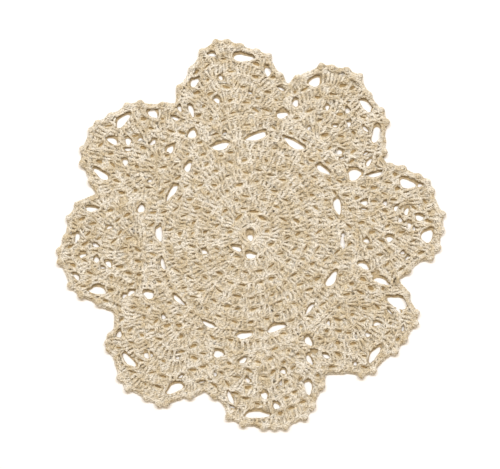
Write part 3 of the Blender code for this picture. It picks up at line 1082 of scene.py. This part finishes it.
ground = dict(
    rimStep=1.6,            # mm between the points of its edge
    rimInset=0.35,          # mm that its edge lies inside the mat's
    gapInset=0.10,          # mm that it stays back from an opening
    gapSides=14,            # points round a gap
    pitSides=8,
    # lines of its face along a row: share of the row's height, how much of the drop they take
    lines=((0.24, 1.0), (0.54, 0.0), (0.90, 0.0)),
    lineDrop=0.28,          # mm
    lineShade=0.70,         # painted shade: how much darker a line with the whole drop is, as a share
    lineStray=0.2,          # stitches that its points lie beside their place
    clear=0.9,              # mm that those points keep from the rim and from a gap
    pitClear=0.6,           # mm that they keep from a pit
    search=1.5,             # mm past a hole's length within which they are tested
    floor=0.22,             # mm, height of its underside
    border=0.38,            # mm, its height at the edges
    ledge=(0.10, 0.40),     # mm outside the stitches' edge round a gap, and the height there
    gapShade=0.7,           # painted shade: how much darker it is on the way down to a gap and on its ledge, as a share
    face=1.06,              # mm, its height under the stitches
    sink=0.8,               # share of the stitches' hollows that it follows
    pitFloor=0.42,          # mm
    pitWall=(0.12, -0.10),  # mm outside a pit's edge, at the wall's top and foot
    weld=1e-7,              # mm, points nearer than this become one
    sharpFrom=50.0,         # angle between two faces from which their edge stays sharp
)


def facePoints():
    # points along every row, with how far down each one is
    found, sunk = [], []
    for row in rows:
        for up, low in ground["lines"]:
            u = np.arange(row["count"]) + dice.uniform(-ground["lineStray"], ground["lineStray"],
                                                       row["count"])
            found.append(warped(row["place"](u, np.full(len(u), up))))
            sunk.append(np.full(len(u), low if row["kind"] != "hub" else 0.0))
    return np.concatenate(found), np.concatenate(sunk)


def groundLoops():
    # the edges of the form, then the ledges round its gaps, then each pit's wall, top and foot
    rimEdge = evenLine(outline, ground["rimStep"])
    edges = [rimEdge - outward(rimEdge) * ground["rimInset"]]
    ledges, wells = [], []
    gapTurns, pitTurns = (np.linspace(0, fullTurn, ground[sides], endpoint=False)
                          for sides in ("gapSides", "pitSides"))
    for gap in gaps:
        edges.append(holePoint(gap["opening"], 1.0, gapTurns, ground["gapInset"]))
        ledges.append(holePoint(gap, 1.0, gapTurns, ground["ledge"][0]))
    for pit in pitHoles:
        if pit["through"]:
            edges.append(holePoint(pit, 1.0, pitTurns))
        else:
            wells += [holePoint(pit, 1.0, pitTurns, grow) for grow in ground["pitWall"]]
    return edges, ledges, wells


def clearPoints(rimEdge):
    # the face's points that lie clear of the rim and of every hole
    inner, sunk = facePoints()
    kept = nearestRim(inner, rimEdge)[0] > ground["clear"]
    inner, sunk = inner[kept], sunk[kept]
    for hole in holes:
        reach = hole["half"][0] * mat["gapRoom"] + ground["search"]
        near = isNear(inner, hole["middle"], reach)
        grow = ground["clear"] if "opening" in hole else ground["pitClear"]
        near[near] = holeShare(inner[near], hole, grow)[0] < 1
        inner, sunk = inner[~near], sunk[~near]
    return inner, sunk


def groundMesh():
    # points of the plane with their height and depth of painted shade, and the faces between them
    edgeLoops, ledges, wells = groundLoops()
    inner, sunk = clearPoints(edgeLoops[0])
    allLoops = edgeLoops + ledges + wells
    points = np.concatenate(allLoops + [inner])
    border = sum(len(loop) for loop in edgeLoops)
    high = ground["face"] - ground["sink"] * hollow(points)
    high[-len(inner):] -= ground["lineDrop"] * sunk
    high[:border] = ground["border"]
    # the depth of painted shade: along the rows' sunk lines, on the slopes down to the gaps and
    # their ledges, and fully on the pits' floors
    deep = np.zeros(len(points))
    deep[-len(inner):] = ground["lineShade"] * sunk
    deep[len(edgeLoops[0]):border] = ground["gapShade"]
    firstWell = len(edgeLoops) + len(ledges)
    edges = []
    first = 0
    for index, loop in enumerate(allLoops):
        ring = np.arange(len(loop)) + first
        edges += np.stack([ring, np.roll(ring, -1)], axis=-1).tolist()
        if len(edgeLoops) <= index < firstWell:
            high[ring] = ground["ledge"][1]
            deep[ring] = ground["gapShade"]
        elif index >= firstWell and (index - firstWell) % 2:
            high[ring] = ground["pitFloor"]
            deep[ring] = 1.0
        first += len(loop)
    filled = delaunay_2d_cdt(points.tolist(), edges, [], 0, ground["weld"])
    corners = np.array([corner[:] for corner in filled[0]])
    faces = np.array(filled[2])
    origins = filled[3]
    high = np.array([high[origin[0]] if origin else ground["border"] for origin in origins])
    deep = np.array([deep[origin[0]] if origin else 0.0 for origin in origins])
    middles = corners[faces].mean(axis=1)
    kept = nearestRim(middles, edgeLoops[0])[0] > 0
    for loop in edgeLoops[1:]:
        near = isNear(middles, loop.mean(axis=0), np.ptp(loop, axis=0).max())
        near[near] = nearestRim(middles[near], loop)[0] > 0
        kept &= ~near
    return corners, high, deep, faces[kept]


def turnsLeft(corners):
    first, second = corners[1] - corners[0], corners[2] - corners[0]
    return first[0] * second[1] - first[1] * second[0] > 0


def buildGround():
    plane, high, deep, faces = groundMesh()
    faces = [face if turnsLeft(plane[face]) else face[::-1] for face in faces]
    count = len(plane)
    low = np.full(count, ground["floor"])
    points = np.concatenate([np.column_stack([plane, high]), np.column_stack([plane, low])])
    polygons = [list(face) for face in faces]
    polygons += [[index + count for index in face[::-1]] for face in faces]
    sides = dict.fromkeys((int(here), int(there)) for face in faces
                          for here, there in zip(face, np.roll(face, -1)))
    polygons += [[there, here, here + count, there + count] for here, there in sides
                 if (there, here) not in sides]
    mesh = bpy.data.meshes.new("doily_ground")
    mesh.from_pydata((points * mm).tolist(), [], polygons)
    # the depth of painted shade on the top face, none on the underside
    setValues(mesh, "depth", np.concatenate([deep, np.zeros(count)]))
    form = bmesh.new()
    form.from_mesh(mesh)
    loose = [vert for vert in form.verts if not vert.link_faces]
    bmesh.ops.delete(form, geom=loose, context="VERTS")
    bmesh.ops.recalc_face_normals(form, faces=form.faces)
    form.to_mesh(mesh)
    form.free()
    mesh.shade_smooth()
    mesh.set_sharp_from_angle(angle=math.radians(ground["sharpFrom"]))
    mesh.materials.append(innerCotton)
    return addObject("doily_ground", mesh)


sheet = buildGround()
print("ground made,", len(sheet.data.polygons), "faces")


# The table, the light and the camera

stage = dict(
    tableSize=6.0,          # m
    tableColour="#fbfbfb",
    tableRoughness=0.9,
    cameraHeight=0.597,     # m
    cameraSide=-0.43,       # mm, how far the camera stands beside the mat's middle
    lens=100.0,
    sensor=36.0,
    lampRise=54.0,
    lampDistance=2.2,       # m
    lampSize=(2.6, 0.5),    # m, long across the view and narrow the other way
    lampPower=53.5,         # W
    lampColour="#f6f9ff",
    fill=0.60,              # strength of the light from all round
    fillColour="#ffe9cc",
)


def buildStage(sizes):
    bpy.ops.mesh.primitive_plane_add(size=sizes["tableSize"])
    table = bpy.context.object
    table.name = "table"
    paper = bpy.data.materials.new("white paper backing, matt")
    paper.use_nodes = True
    surface = paper.node_tree.nodes["Principled BSDF"]
    surface.inputs["Base Color"].default_value = hexToLinear(sizes["tableColour"])
    surface.inputs["Roughness"].default_value = sizes["tableRoughness"]
    table.data.materials.append(paper)

    lamp = bpy.data.lights.new("strip lamp", "AREA")
    lamp.shape = "RECTANGLE"
    lamp.size, lamp.size_y = sizes["lampSize"]
    lamp.energy = sizes["lampPower"]
    lamp.color = hexToLinear(sizes["lampColour"])[:3]
    light = addObject("strip lamp", lamp)
    rise = math.radians(sizes["lampRise"])
    light.location = (0, sizes["lampDistance"] * math.cos(rise),
                      sizes["lampDistance"] * math.sin(rise))
    light.rotation_euler = (-(math.pi / 2 - rise), 0, 0)

    world = bpy.data.worlds.new("soft warm room")
    world.use_nodes = True
    background = world.node_tree.nodes["Background"]
    background.inputs["Color"].default_value = hexToLinear(sizes["fillColour"])
    background.inputs["Strength"].default_value = sizes["fill"]
    bpy.context.scene.world = world

    view = bpy.data.cameras.new("camera")
    view.lens = sizes["lens"]
    view.sensor_width = sizes["sensor"]
    camera = addObject("camera", view)
    camera.location = (sizes["cameraSide"] * mm, 0, sizes["cameraHeight"])
    bpy.context.scene.camera = camera
    bpy.context.scene.view_settings.view_transform = "Standard"
    bpy.context.scene.view_settings.look = "None"


buildStage(stage)


# Every piece hangs on the root body, and the frame's own mesh is hidden

for piece in [sheet] + yarnPieces:
    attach(piece, "root")
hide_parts("doily")
